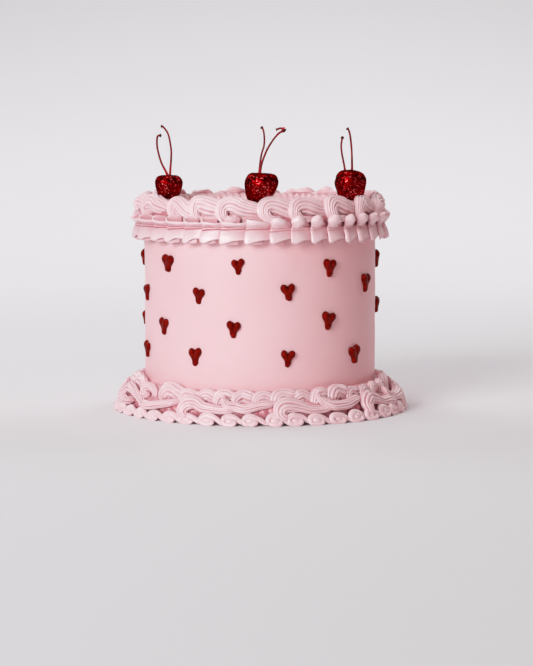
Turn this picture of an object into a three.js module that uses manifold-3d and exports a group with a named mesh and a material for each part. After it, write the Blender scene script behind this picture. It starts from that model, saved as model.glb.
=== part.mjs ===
// Tall round coquette cake: smooth icing with small piped hearts, a border of ridged scrolls on the
// top edge over a pleated ruffle, and at the foot a row of scrolls, garlands and a rim of beads.
// Six cherries with their stems stand on the top border.

import * as THREE from "three";
import { mergeVertices } from "three/addons/utils/BufferGeometryUtils.js";
import Module from "manifold-3d";

const wasm = await Module();
wasm.setup();

// Driving dimensions: millimetres, and degrees from the front of the cake, positive to the right

const GAP = 0.3; // left between two pieces that touch
const CAKE_RADIUS = 82;
const CAKE_HEIGHT = 140;
const CAKE_EDGE = 3; // how far the top edge is rounded off
const CAKE_FACETS = 72;
const WALL = CAKE_RADIUS + GAP; // inner radius of what is piped against the side

// Hearts: angle and height of the middle of each one, in rows from the top
const HEARTS = [
  [[-95, 108], [-50, 106.8], [-10.4, 106.6], [35.5, 105], [93, 107], [136, 106], [179, 108], [-138, 106]],
  [[-73, 84.3], [-30.5, 86], [13.3, 89.2], [64, 91.7], [112, 88], [157, 86], [-158, 84], [-115, 85]],
  [[-94, 63.4], [-53.5, 63.2], [-12.8, 64], [34.7, 68.5], [89, 73], [134, 69], [-179, 65], [-136, 63]],
  [[-73, 44], [-32.6, 43.9], [13.4, 44.1], [53.2, 43.7], [103, 45], [149, 43], [-164, 44], [-117, 44.5]],
];
// Outline of a heart's right half from the cleft round to the tail, to the right and up
const HEART_OUTLINE = [[0, 2.9], [2.5, 5.6], [5, 3], [2.1, -4], [0, -6]];
const HEART_DEPTH = 2.7; // how far the lobes stand proud of the wall
const HEART_CROWN = 0.68; // size of the flat of its top against the outline
const HEART_CLEFT = { up: 0.9, depth: 1.9 }; // the dip between the lobes
const HEART_SINK = 0.6; // how far its back lies inside the wall
const HEART_SPREAD = 0.07; // share by which one is larger or smaller than the next
const HEART_LEAN = 9; // degrees that one may lean to either side

// Borders: where the middle of their section lies, as radius and height, its half sizes, how deep
// the ridges are, and the wall and the floor that flatten it
const TOP = {
  count: 21,
  first: 5.6,
  middle: [77.2, 145.2],
  half: [11.2, 8.3],
  floor: CAKE_HEIGHT + GAP,
  sides: 12,
  ridge: 0.14,
};
const BEAD = { count: 42, first: 5.1, middle: [101.4, 3.8], half: [4.8, 5], floor: 0, sides: 6 };
const GARLAND = {
  count: 9,
  first: 8.8,
  middle: [97.6, 14],
  half: [5.4, 5.4],
  wall: 91.4,
  floor: 8.6,
  sides: 8,
  ridge: 0.1,
};

// Foot border of scrolls against the wall: its section from the inside of the foot outwards, over the
// ledge that the garlands lie on and up the face of the scroll, each point with how much it swells
const FOOT = {
  count: 41,
  first: 1.3,
  section: [
    { radius: WALL, height: 0, swell: 0 },
    { radius: 95.9, height: 0, swell: 0 },
    { radius: 95.4, height: 7.6, swell: 0.3 },
    { radius: 90.6, height: 9, swell: 0.5 },
    { radius: 90.7, height: 16, swell: 1 },
    { radius: 89.2, height: 22.8, swell: 1 },
    { radius: 85.4, height: 26.8, swell: 1 },
    { radius: WALL, height: 24.6, swell: 0.7 },
  ],
  anchor: { radius: WALL, height: 9 },
};

// One scroll of a border, from the tail of the last one that lies under its head. Along is in parts
// of the pitch, turn is how far the ridges have wound round and bow how far the head leads, in parts
// of the pitch where it stands out most.
const SCROLL = [
  { along: -0.28, scale: 0.6, turn: -22, bow: 0.04, up: -1.4 },
  { along: -0.34, scale: 0.88, turn: 4, bow: 0.12, up: -0.4 },
  { along: -0.2, scale: 1.04, turn: 20, bow: 0.1 },
  { along: 0.06, scale: 1.04, turn: 24, bow: 0 },
  { along: 0.4, scale: 0.82, turn: 4, bow: 0, up: -1 },
];
const FOOT_SCROLL = [
  { along: -0.3, scale: 0.72, bow: 0.04 },
  { along: -0.34, scale: 0.92, bow: 0.14 },
  { along: -0.12, scale: 1.05, bow: 0.08 },
  { along: 0.3, scale: 0.92, bow: 0 },
];
const BEAD_SWELL = [
  { along: -0.42, scale: 0.78, bow: 0.08 },
  { along: -0.1, scale: 1, bow: 0.05 },
  { along: 0.62, scale: 0.5, bow: 0 },
];

// One garland: the curled head that swings over, its tail that runs down to the right, and a second
// strand that starts above the tail, sags and ends under the next head
const SWAG = [
  { along: -0.12, scale: 0.5, turn: -10, bow: 0, up: -2 },
  { along: -0.16, scale: 1, turn: 8, bow: 0.03, up: -0.6 },
  { along: -0.04, scale: 1.16, turn: 26, bow: 0.03, up: 0.8 },
  { along: 0.1, scale: 1, turn: 24, bow: 0, up: 0.9 },
  { along: 0.28, scale: 0.8, turn: 8, bow: 0, up: -1.4 },
  { along: 0.46, scale: 0.58, turn: 0, bow: 0, up: -3.2 },
  { along: 0.41, scale: 0.86, turn: 6, bow: 0.02, up: -0.2 },
  { along: 0.54, scale: 0.84, turn: 22, bow: 0, up: -0.9 },
  { along: 0.7, scale: 0.68, turn: 6, bow: 0, up: -2.4 },
];

const BOW_SLOPE = 25; // the head of a scroll leads most this far above its middle, in degrees
const UNEVEN_SIZE = 0.05; // share by which one scroll is taller or lower than the next
const UNEVEN_PLACE = 0.05; // how far it stands from its even place, in parts of the pitch

// Ruffle under the top border
const PLEATS = 36;
const PLEAT_FIRST = 4.9;
const PLEAT_CROWDING = 6.7; // the pleats stand closer together on the right than on the left
const PLEAT_DRIFT = 1.6;
const PLEAT_LEAN = 0.17; // degrees that a pleat leans to the right for each millimetre up
const PLEAT_WAIST = 131.8; // height at which a pleat stands in its place
// Section of the ruffle from the wall over the lip and down to the hem, each point with how far it
// swings in where the ruffle folds back, and how much it lifts there
const RUFFLE = [
  { radius: WALL, height: CAKE_HEIGHT - 0.8, fold: 0, lift: 0 },
  { radius: 89.6, height: CAKE_HEIGHT, fold: 1.8, lift: -0.8 },
  { radius: 91.7, height: 137.2, fold: 3.4, lift: -0.6 },
  { radius: 88.4, height: PLEAT_WAIST, fold: 1.8, lift: 0 },
  { radius: 92, height: 124.4, fold: 4.6, lift: 1.6 },
  { radius: 90.8, height: 122.6, fold: 4.8, lift: 2 },
  { radius: WALL, height: 119.6, fold: 0, lift: 0 },
];
// One pleat: along in parts of the pitch, and how far it stands out
const PLEAT = [
  { along: 0.05, out: 0 },
  { along: 0, out: 0.7 },
  { along: 0.2, out: 1 },
  { along: 0.62, out: 0.5 },
];

// Cherries on the top border: width, height of the bottom above the base, height of the fruit, and
// the stem by points to the right of the fruit's middle and up from the base of the cake
const CHERRIES = {
  cherry_front: {
    angle: 1,
    ring: 73.4,
    width: 23.2,
    bottom: 146,
    height: 23,
    stem: [[-1.2, 168], [-0.2, 175], [3, 183.2], [7.2, 190.2], [12.2, 196], [17.2, 199]],
  },
  cherry_front_right: {
    angle: 59.8,
    ring: 73.4,
    width: 21.3,
    bottom: 149.3,
    height: 20.6,
    stem: [[0.6, 168.5], [0.2, 179.1], [-0.5, 189.6], [-1.6, 196.4], [-2.8, 199.4]],
  },
  cherry_back_right: {
    angle: 120.4,
    ring: 72.6,
    width: 17.6,
    bottom: 146.4,
    height: 16.6,
    stem: [[-0.4, 163], [-2, 174.7], [-3.2, 182.7], [-3.4, 188.4], [-2.8, 192.4]],
  },
  cherry_back: {
    angle: 180.6,
    ring: 73.4,
    width: 18,
    bottom: 146,
    height: 17,
    stem: [[0, 163], [1.5, 176.6], [3.6, 184.3], [4, 190.2], [3.2, 196.9], [1.4, 200]],
  },
  cherry_back_left: {
    angle: -119.6,
    ring: 74.6,
    width: 17.4,
    bottom: 146.2,
    height: 16.8,
    stem: [[0.2, 163], [0.6, 177.4], [0.3, 183.6], [-1.6, 193.8], [-5.2, 200], [-7.2, 201.1]],
  },
  cherry_front_left: {
    angle: -60,
    ring: 73.4,
    width: 19.2,
    bottom: 148.8,
    height: 17.6,
    stem: [[-0.6, 167.5], [-5.4, 179.1], [-7.9, 189.6], [-7.7, 193.1], [-6, 194.6]],
  },
};
// Half outline of a fruit of radius and height 1, from the bottom to the dimple
const FRUIT = [[0, 0], [0.4, 0.05], [0.78, 0.27], [1, 0.62], [0.9, 0.87], [0.55, 1], [0.22, 0.96], [0, 0.87]];
const FRUIT_FACETS = 10;
const STEM_FOOT = 0.8; // where a stem starts inside its fruit, in parts of the fruit's height
const STEM_RADIUS = 0.6;
const STEM_THICKNESS = [0, 1.5, 1, 1, 1, 1, 1.9, 0]; // along the stem, in parts of its radius
const STEM_SIDES = 5;

// Small tools

const radians = THREE.MathUtils.degToRad;

// Point at a distance from the cake's axis, an angle from the front and a height
function around(radius, angle, height) {
  const a = radians(angle);
  return new THREE.Vector3(radius * Math.sin(a), -radius * Math.cos(a), height);
}

// Repeatable unevenness: a number between -1 and 1 for each call
function unevenness(seed) {
  let state = seed;
  return () => {
    state = (state * 1664525 + 1013904223) % 4294967296;
    return state / 2147483648 - 1;
  };
}

function solidOf(geometry) {
  const bare = geometry.clone();
  bare.deleteAttribute("normal");
  bare.deleteAttribute("uv");
  const merged = mergeVertices(bare, 1e-4);
  return new wasm.Manifold(
    new wasm.Mesh({
      numProp: 3,
      vertProperties: merged.attributes.position.array,
      triVerts: new Uint32Array(merged.index.array),
    }),
  );
}

function geometryOf(solid) {
  const { numProp, vertProperties, triVerts } = solid.getMesh();
  const points = [];
  for (let i = 0; i < vertProperties.length; i += numProp) {
    points.push(...vertProperties.slice(i, i + 3));
  }
  return new THREE.BufferGeometry()
    .setAttribute("position", new THREE.Float32BufferAttribute(points, 3))
    .setIndex([...triVerts]);
}

function geometryFrom(points, index) {
  return new THREE.BufferGeometry()
    .setAttribute("position", new THREE.Float32BufferAttribute(points.flatMap((p) => p.toArray()), 3))
    .setIndex(index);
}

const joined = (solids) => solids.reduce((whole, next) => whole.add(next));

// Body of rings of points, one after the other, closed by a point at each end
function lofted(rings, start, end) {
  const sides = rings[0].length;
  const last = rings.length - 1;
  const points = [start, ...rings.flat(), end];
  const at = (ring, side) => 1 + ring * sides + (side % sides);
  const index = [];
  for (let s = 0; s < sides; s++) {
    index.push(0, at(0, s), at(0, s + 1));
    for (let r = 0; r < last; r++) {
      index.push(at(r, s), at(r + 1, s), at(r, s + 1));
      index.push(at(r + 1, s), at(r + 1, s + 1), at(r, s + 1));
    }
    index.push(points.length - 1, at(last, s + 1), at(last, s));
  }
  return geometryFrom(points, index);
}

// Rope along stations of { centre, normal, width, rise } with an oval section
function rope(stations, sides) {
  const rings = stations.slice(1, -1).map(({ centre, normal, width, rise }, i) => {
    const forward = stations[i + 2].centre.clone().sub(stations[i].centre).normalize();
    const across = forward.clone().cross(normal).normalize();
    const up = across.clone().cross(forward).normalize();
    return Array.from({ length: sides }, (_, s) => {
      const turn = (s / sides) * 2 * Math.PI;
      const swing = across.clone().multiplyScalar(width * Math.cos(turn));
      return centre.clone().add(swing).addScaledVector(up, rise * Math.sin(turn));
    });
  });
  return lofted(rings, stations[0].centre, stations.at(-1).centre);
}

// Closed hoop of sections round the cake, each the same number of points and turning the same way
function hoop(sections) {
  const sides = sections[0].length;
  const at = (section, side) => (section % sections.length) * sides + (side % sides);
  const index = [];
  for (let c = 0; c < sections.length; c++) {
    for (let s = 0; s < sides; s++) {
      index.push(at(c, s), at(c + 1, s), at(c, s + 1));
      index.push(at(c + 1, s), at(c + 1, s + 1), at(c, s + 1));
    }
  }
  return geometryFrom(sections.flat(), index);
}

// Hoop of one rope of icing that swells and winds in every repeat of its stations
function border({ count, first, middle, half, wall = 0, floor, sides, ridge = 0 }, repeat, seed) {
  const uneven = unevenness(seed);
  const pitch = 360 / count;
  const sections = [];
  for (let i = 0; i < count; i++) {
    const tall = 1 + UNEVEN_SIZE * uneven();
    const shift = UNEVEN_PLACE * uneven();
    for (const { along, scale, turn = 0, bow, up = 0 } of repeat) {
      sections.push(
        Array.from({ length: sides }, (_, s) => {
          const wound = radians((s / sides) * 360 + turn);
          const reach = scale * (s % 2 ? 1 - ridge : 1);
          const radius = middle[0] + half[0] * reach * Math.cos(wound);
          const height = middle[1] + up + half[1] * reach * tall * Math.sin(wound);
          const lead = bow * Math.max(0, Math.cos(wound - radians(BOW_SLOPE)));
          const angle = first + pitch * (i + along + shift - lead);
          return around(Math.max(radius, wall), angle, Math.max(height, floor));
        }),
      );
    }
  }
  return solidOf(hoop(sections));
}

// Foot border: its section swells away from the corner between the wall and the foot
function footBorder({ count, first, section, anchor }, repeat, seed) {
  const uneven = unevenness(seed);
  const pitch = 360 / count;
  const sections = [];
  for (let i = 0; i < count; i++) {
    const tall = UNEVEN_SIZE * uneven();
    const shift = UNEVEN_PLACE * uneven();
    for (const { along, scale, bow } of repeat) {
      sections.push(
        section.map(({ radius, height, swell }) => {
          const out = (radius - anchor.radius) * (1 + (scale - 1) * swell);
          const rise = (height - anchor.height) * (1 + (scale + tall - 1) * swell);
          const angle = first + pitch * (i + along + shift - bow * swell * swell);
          return around(anchor.radius + out, angle, anchor.height + rise);
        }),
      );
    }
  }
  return solidOf(hoop(sections));
}

const materials = {
  sides: new THREE.MeshStandardMaterial({ color: "#eeb6bd", roughness: 0.55, metalness: 0 }),
  border: new THREE.MeshStandardMaterial({ color: "#efccd2", roughness: 0.6, metalness: 0 }),
  cherry: new THREE.MeshStandardMaterial({ color: "#8c0a10", roughness: 0.2, metalness: 0 }),
};

const cake = new THREE.Group();

function add(name, solid, material) {
  const mesh = new THREE.Mesh(geometryOf(solid), material);
  mesh.name = name;
  cake.add(mesh);
}

// Cake under its smooth icing, with the hearts piped on it

function cakeBody() {
  const profile = [
    new THREE.Vector2(0, 0),
    new THREE.Vector2(CAKE_RADIUS, 0),
    new THREE.Vector2(CAKE_RADIUS, CAKE_HEIGHT - CAKE_EDGE),
    new THREE.Vector2(CAKE_RADIUS - CAKE_EDGE, CAKE_HEIGHT),
    new THREE.Vector2(0, CAKE_HEIGHT),
  ];
  return solidOf(new THREE.LatheGeometry(profile, CAKE_FACETS).rotateX(Math.PI / 2));
}

// Heart with a domed face: the outline in the wall, a smaller crown in front of it and a middle
// that dips between the lobes
function heart([angle, height], uneven) {
  const scale = 1 + HEART_SPREAD * uneven();
  const lean = radians(HEART_LEAN * uneven());
  const left = HEART_OUTLINE.slice(1, -1).reverse().map(([right, up]) => [-right, up]);
  const outline = [...HEART_OUTLINE, ...left];
  const place = ([right, up], size, proud) => {
    const across = scale * size * (right * Math.cos(lean) - up * Math.sin(lean));
    const rise = scale * size * (right * Math.sin(lean) + up * Math.cos(lean));
    const turned = angle + THREE.MathUtils.radToDeg(across / CAKE_RADIUS);
    return around(CAKE_RADIUS + proud, turned, height + rise);
  };
  const count = outline.length;
  const points = [
    ...outline.map((p) => place(p, 1, -HEART_SINK)),
    ...outline.map((p) => place(p, HEART_CROWN, HEART_DEPTH)),
    place([0, 0], 1, -HEART_SINK),
    place([0, HEART_CLEFT.up], 1, HEART_CLEFT.depth),
  ];
  const index = [];
  for (let i = 0; i < count; i++) {
    const next = (i + 1) % count;
    index.push(i, next, 2 * count);
    index.push(next, i, count + i, next, count + i, count + next);
    index.push(count + next, count + i, 2 * count + 1);
  }
  return solidOf(geometryFrom(points, index));
}

const heartDraw = unevenness(11);
const hearts = HEARTS.flat().map((place) => heart(place, heartDraw));
add("cake_body", joined([cakeBody(), ...hearts]), materials.sides);

// Ruffle: a folded strip of icing that hangs from the top edge

function ruffle() {
  const pitch = 360 / PLEATS;
  const sections = [];
  for (let i = 0; i < PLEATS; i++) {
    for (const { along, out } of PLEAT) {
      const folded = 1 - out;
      const even = pitch * (i + along);
      const turn = radians(even);
      const crowd = PLEAT_CROWDING * (1 - Math.cos(turn)) + PLEAT_DRIFT * Math.sin(turn);
      sections.push(
        RUFFLE.map(({ radius, height, fold, lift }) => {
          const lean = PLEAT_LEAN * (height - PLEAT_WAIST);
          return around(radius - fold * folded, PLEAT_FIRST + even - crowd + lean, height + lift * folded);
        }).reverse(),
      );
    }
  }
  return solidOf(hoop(sections));
}
add("top_ruffle", ruffle(), materials.border);

// Cherries: a round fruit with a dimple, and a stem that ends in a knob

function fruit({ width, bottom, height, ring, angle }, margin) {
  const profile = FRUIT.map(([across, up]) => new THREE.Vector2(
    across * (width / 2 + margin),
    up * (height + 2 * margin),
  ));
  const body = new THREE.LatheGeometry(profile, FRUIT_FACETS).rotateX(Math.PI / 2);
  const place = around(ring, angle, bottom - margin);
  return solidOf(body.translate(place.x, place.y, place.z));
}

function stem({ ring, angle, bottom, height, stem: points }) {
  const foot = around(ring, angle, bottom + height * STEM_FOOT);
  const route = points.map(([right, up]) => new THREE.Vector3(foot.x + right, foot.y, up));
  const curve = new THREE.CatmullRomCurve3([foot, ...route]);
  const normal = new THREE.Vector3(0, -1, 0);
  const stations = STEM_THICKNESS.map((thick, i) => ({
    centre: curve.getPointAt(i / (STEM_THICKNESS.length - 1)),
    normal,
    width: thick * STEM_RADIUS,
    rise: thick * STEM_RADIUS,
  }));
  return solidOf(rope(stations, STEM_SIDES));
}

const pockets = [];
for (const [name, cherry] of Object.entries(CHERRIES)) {
  add(name, fruit(cherry, 0).add(stem(cherry)), materials.cherry);
  pockets.push(fruit(cherry, GAP));
}

// Scrolls on the top edge, with a pocket under each cherry, and the borders at the foot

add("top_shells", border(TOP, SCROLL, 23).subtract(joined(pockets)), materials.border);
add("base_shells", footBorder(FOOT, FOOT_SCROLL, 37), materials.border);
add("base_swags", border(GARLAND, SWAG, 53), materials.border);
add("base_beads", border(BEAD, BEAD_SWELL, 41), materials.border);

export default cake;
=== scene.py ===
"""Dressed model of a tall round cake in pink buttercream, with piped borders, small hearts and cherries.

Lengths in the shape formulas are millimetres, angles are degrees from the front of the cake towards the
right, and every piece is turned into metres as its mesh is made.
"""

import math

import bpy
import numpy as np
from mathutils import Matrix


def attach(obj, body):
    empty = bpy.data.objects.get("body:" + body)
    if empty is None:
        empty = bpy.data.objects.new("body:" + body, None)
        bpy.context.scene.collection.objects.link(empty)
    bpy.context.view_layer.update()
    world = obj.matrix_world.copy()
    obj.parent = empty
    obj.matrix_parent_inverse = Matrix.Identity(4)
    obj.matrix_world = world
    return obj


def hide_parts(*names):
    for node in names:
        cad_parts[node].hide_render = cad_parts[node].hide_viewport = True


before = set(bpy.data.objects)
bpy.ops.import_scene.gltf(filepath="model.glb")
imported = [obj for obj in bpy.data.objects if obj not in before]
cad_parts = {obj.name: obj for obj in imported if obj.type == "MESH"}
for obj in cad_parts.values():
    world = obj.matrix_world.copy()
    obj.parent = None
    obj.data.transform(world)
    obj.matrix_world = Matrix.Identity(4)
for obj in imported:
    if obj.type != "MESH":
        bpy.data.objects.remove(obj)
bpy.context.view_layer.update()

# The cake under its smooth icing
# A tall stack of sponge layers with buttercream spread over it, smoothed with a scraper while it turned.
# The top edge is softened, and the flat top shows inside the piped border.

CAKE_RADIUS = 82.0
CAKE_HEIGHT = 140.0
EDGE_ROUND = 3.0
TOP_DIP = 0.3
MILLIMETRE = 0.001
# The slow waves of the wall: how high each is, its swells round the cake, its climb and its start
WALL_WAVES = [(0.10, 3, 0.05, 0), (0.07, 7, -0.11, 1), (0.05, 2, 0.21, 0)]
WAVE_FADE = 6.0


def turned(radius, angle, height):
    """Points at a distance from the cake's axis, an angle from the front and a height."""
    turn = np.radians(angle)
    return np.stack(np.broadcast_arrays(radius * np.sin(turn), -radius * np.cos(turn), height), -1)


def placed(name, data):
    """Object of a mesh, light or camera, put into the scene."""
    made = bpy.data.objects.new(name, data)
    bpy.context.scene.collection.objects.link(made)
    return made


def piped_piece(name, rings, start=None, end=None, **values):
    """Mesh piece of closed ropes. rings holds for each rope its rings of points, and start and end the
    point that closes each end; without them the last ring is joined to the first. Every ring is joined
    to the next by faces of four corners, and each end by a fan. Where the volume inside the faces comes
    out below zero, they are turned round. Each named value holds one number for every point of the
    rings, and is kept as an attribute."""
    ropes, count, sides = rings.shape[:3]
    side = np.arange(sides)
    if start is None:
        points = rings.reshape(ropes, -1, 3)
        ring = sides * (np.arange(count + 1) % count)[:, None]
        tips = np.zeros((0, 3), int)
    else:
        ends = [p.reshape(ropes, 1, 3) for p in (start, end)]
        points = np.concatenate([ends[0], rings.reshape(ropes, -1, 3), ends[1]], 1)
        ring = 1 + sides * np.arange(count)[:, None]
        around, last = (side + 1) % sides, count * sides + 1
        tips = np.concatenate([
            np.stack([0 * side, 1 + around, 1 + side], -1),
            np.stack([0 * side + last, last - sides + side, last - sides + around], -1),
        ])
    here, beside = ring + side, ring + (side + 1) % sides
    quads = np.stack([here[:-1], beside[:-1], beside[1:], here[1:]], -1).reshape(-1, 4)
    a, b, c = (points[0, quads[:, i]] for i in range(3))
    if np.einsum("ij,ij->", a, np.cross(b, c)) < 0:
        quads, tips = quads[:, ::-1], tips[:, ::-1]
    first = points.shape[1] * np.arange(ropes)[:, None, None]
    quads, tips = (quads + first).reshape(-1, 4), (tips + first).reshape(-1, 3)
    mesh = bpy.data.meshes.new(name)
    mesh.vertices.add(points.size // 3)
    mesh.vertices.foreach_set("co", (points * MILLIMETRE).ravel())
    mesh.loops.add(quads.size + tips.size)
    mesh.loops.foreach_set("vertex_index", np.concatenate([quads.ravel(), tips.ravel()]).astype(np.int32))
    mesh.polygons.add(len(quads) + len(tips))
    starts = np.concatenate([4 * np.arange(len(quads)), quads.size + 3 * np.arange(len(tips))])
    mesh.polygons.foreach_set("loop_start", starts.astype(np.int32))
    mesh.polygons.foreach_set("use_smooth", np.ones(len(starts), bool))
    mesh.update(calc_edges=True)
    for label, numbers in values.items():
        whole = np.broadcast_to(numbers, rings.shape[:3]).reshape(ropes, -1)
        if start is not None:
            whole = np.concatenate([whole[:, :1], whole, whole[:, -1:]], 1)
        layer = mesh.attributes.new(label, "FLOAT", "POINT")
        layer.data.foreach_set("value", whole.astype(np.float32).ravel())
    return placed(name, mesh)


def smooth_icing():
    """Surface of revolution. Its outline runs from the middle of the base out to the wall, up it, round
    the softened edge and in to the middle of the top. The wall swells and sinks by a few tenths of a
    millimetre in slow waves round and up the cake, and the top, which dips a little, in slow swirls, as
    a spatula leaves it. The waves die out towards the ends of the wall and the edge of the top."""
    bend = np.radians(np.linspace(0, 90, 9))
    flat_radius, wall_height = CAKE_RADIUS - EDGE_ROUND, CAKE_HEIGHT - EDGE_ROUND
    radius, height = np.concatenate([
        (np.linspace(4, CAKE_RADIUS, 16), np.zeros(16)),
        (np.full(100, CAKE_RADIUS), np.linspace(0.5, wall_height, 100)),
        (flat_radius + EDGE_ROUND * np.cos(bend[1:]), wall_height + EDGE_ROUND * np.sin(bend[1:])),
        (np.linspace(flat_radius - 1, 2, 60), np.full(60, CAKE_HEIGHT)),
    ], 1)[..., None]
    angle = np.linspace(0, 360, 240, endpoint=False)[None]
    turn = np.radians(angle)
    on_wall = np.clip(height / WAVE_FADE, 0, 1) * np.clip((CAKE_HEIGHT - height) / WAVE_FADE, 0, 1)
    wave = 0.03 * np.sin(0.9 * height + 5 * np.sin(turn))
    for size, swells, climb, start in WALL_WAVES:
        wave = wave + size * np.sin(swells * turn + climb * height + start)
    on_top = (height > CAKE_HEIGHT - 0.01) * np.clip((CAKE_RADIUS - WAVE_FADE - radius) / WAVE_FADE, 0, 1)
    swirl = 0.16 * np.sin(0.75 * radius + 1.2 * turn) + 0.1 * np.sin(0.3 * radius - 2 * turn)
    points = turned(radius + wave * on_wall, angle, height + (swirl - TOP_DIP) * on_top)
    return points[None], np.array([[0, 0, 0.0]]), np.array([[0, 0, CAKE_HEIGHT - TOP_DIP]])


class Wire:
    """A socket of a material. Sums, differences and products of wires and numbers add the Math nodes
    that work them out."""

    def __init__(self, finish, socket):
        self.finish, self.socket = finish, socket

    def _maths(self, operation, left, right):
        """Math node that works out the operation on two wires or numbers."""
        return self.finish.node("ShaderNodeMath", {"operation": operation}, {0: left, 1: right})

    def __add__(self, other):
        return self._maths("ADD", self, other)

    def __sub__(self, other):
        return self._maths("SUBTRACT", self, other)

    def __rsub__(self, other):
        return self._maths("SUBTRACT", other, self)

    def __mul__(self, other):
        return self._maths("MULTIPLY", self, other)

    __radd__, __rmul__ = __add__, __mul__


class Finish:
    """A material in the making, with the constants of its Principled shader given by socket name."""

    def __init__(self, name, constants):
        self.material = bpy.data.materials.new(name)
        self.material.use_nodes = True
        self.tree = self.material.node_tree
        self.shader = self.tree.nodes["Principled BSDF"]
        self.place = self.node("ShaderNodeTexCoord", {}, {}, "Object")
        for label, value in constants.items():
            self.shader.inputs[label].default_value = value

    def set(self, node, values):
        """Gives the sockets of a node their values: a wire is linked, and a number or colour is stored."""
        for label, value in values.items():
            if isinstance(value, Wire):
                self.tree.links.new(value.socket, node.inputs[label])
            else:
                node.inputs[label].default_value = value

    def node(self, kind, settings, values, output=0):
        """Adds a node of a kind, makes its settings, gives its sockets their values or wires, and
        returns one of its outputs."""
        made = self.tree.nodes.new(kind)
        for label, value in settings.items():
            setattr(made, label, value)
        self.set(made, values)
        return Wire(self, made.outputs[output])

    def noise(self, scale, detail=2):
        """Soft noise from 0 to 1 over the piece, with so many lumps a metre."""
        return self.node("ShaderNodeTexNoise", {}, {"Vector": self.place, "Scale": scale, "Detail": detail})

    def between(self, factor, low, high):
        """Share of the way from one number to another, held between 0 and 1."""
        limits = {"Value": factor, "From Min": low, "From Max": high}
        return self.node("ShaderNodeMapRange", {}, limits)

    def blend(self, factor, first, second):
        """Colour that far from the first to the second."""
        chosen = {"Factor": factor, 6: first, 7: second}
        return self.node("ShaderNodeMix", {"data_type": "RGBA"}, chosen, 2)

    def bump(self, height, strength, distance):
        """Normal of a surface raised by the height, up to a distance in metres at full strength."""
        values = {"Height": height, "Strength": strength, "Distance": distance}
        return self.node("ShaderNodeBump", {}, values)


def hex_colour(code):
    """Colour from its code as a screen shows it, with the gamma taken out, for a colour socket."""
    shown = np.array([int(code[i:i + 2], 16) for i in (0, 2, 4)]) / 255
    plain = np.where(shown <= 0.04045, shown / 12.92, ((shown + 0.055) / 1.055) ** 2.4)
    return (*map(float, plain), 1.0)


def smooth_finish():
    """Satin pink icing: slow blotches of two near pinks, a few pinholes where air came out, each a small
    dent in the relief with a darker pink dot of painted shade, and the faint level marks of the scraper in
    the relief."""
    finish = Finish("smooth pink icing", {
        "Roughness": 0.52,
        "Specular IOR Level": 0.6,
        "Subsurface Weight": 0.2,
        "Subsurface Radius": (1.0, 0.45, 0.4),
        "Subsurface Scale": 0.002,
    })
    blotch = finish.between(finish.noise(14, 3), 0.3, 0.7)
    pinhole = finish.node(
        "ShaderNodeTexVoronoi", {}, {"Vector": finish.place, "Scale": 70.0, "Randomness": 1.0}, "Distance")
    pinhole = 1 - finish.between(pinhole, 0.0, 0.045)
    pinhole = pinhole * finish.between(finish.noise(40, 1), 0.52, 0.6)
    colour = finish.blend(blotch, hex_colour("f2babf"), hex_colour("f5c2c7"))
    # Painted shade: each pinhole is a darker pink dot.
    colour = finish.blend(pinhole * 0.35, colour, hex_colour("d98c98"))
    level = finish.node("ShaderNodeMapping", {}, {"Vector": finish.place, "Scale": (14, 14, 420)})
    marks = finish.node("ShaderNodeTexNoise", {}, {"Vector": level, "Scale": 1.0, "Detail": 3.0})
    relief = marks * 0.4 + finish.noise(260, 2) * 0.12 - pinhole * 1.5
    finish.set(finish.shader, {
        "Base Color": colour,
        "Normal": finish.bump(relief, 0.25, 0.0006),
    })
    return finish.material


def dress(piece, node, material):
    """Gives a piece its material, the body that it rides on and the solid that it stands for."""
    piece.data.materials.append(material)
    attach(piece, "root")
    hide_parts(node)


icing = piped_piece("cake_icing", *smooth_icing())
dress(icing, "cake_body", smooth_finish())

# Hearts piped on the side
# Each is two drops of stiff red icing, pressed out as a round blob and drawn down to a shared tail, so
# no two are alike. They stand in four staggered rows.

# For each, the angle and height of its middle, and its size
HEART_ROWS = [
    [(-92.8, 107.8, 1.15), (-50, 106.8, 1.18), (-10.4, 106.6, 1.0), (35.5, 105, 1.08),
     (91.8, 107, 1.18), (136, 106, 1.1), (179, 108, 1.0), (-138, 106, 1.1)],
    [(-73, 84.3, 1.15), (-30.5, 86, 1.0), (13.3, 89.2, 1.14), (62.4, 92.8, 1.28),
     (112, 88, 1.1), (157, 86, 1.2), (-158, 84, 1.0), (-115, 85, 1.1)],
    [(-96.5, 63.4, 1.0), (-53.5, 63.2, 1.06), (-12.8, 64, 1.03), (34.7, 69.2, 1.17),
     (89, 73.6, 1.15), (134, 69, 1.0), (-179, 65, 1.2), (-136, 63, 1.1)],
    [(-73, 44, 1.15), (-32.6, 43.9, 1.18), (13.4, 44.1, 1.07), (52.0, 43.9, 1.26),
     (107, 45, 1.0), (149, 43, 1.0), (-164, 44, 1.2), (-117, 44.5, 1.1)],
]


def uneven(draw, *shape):
    """Numbers drawn evenly between -1 and 1, in an array of some shape."""
    return draw.uniform(-1, 1, shape)


def curve_through(rows, parts):
    """Rows of numbers turned into steps of a smooth curve through them: so many even steps, or those at
    the given parts of the way. Between two rows each number follows the cubic whose slope at a row is
    half the difference of the rows on either side of it."""
    rows = np.asarray(rows, float)
    before = 2 * rows[..., :1, :] - rows[..., 1:2, :]
    after = 2 * rows[..., -1:, :] - rows[..., -2:-1, :]
    held = np.concatenate([before, rows, after], -2)
    parts = np.linspace(0, 1, parts) if isinstance(parts, int) else parts
    step = parts * (rows.shape[-2] - 1)
    row = np.minimum(step.astype(int), rows.shape[-2] - 2)
    part = (step - row)[:, None]
    a, b, c, d = (held[..., row + i, :] for i in range(4))
    return b + 0.5 * part * (c - a + part * (2 * a - 5 * b + 4 * c - d + part * (3 * (b - c) + d - a)))


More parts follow.
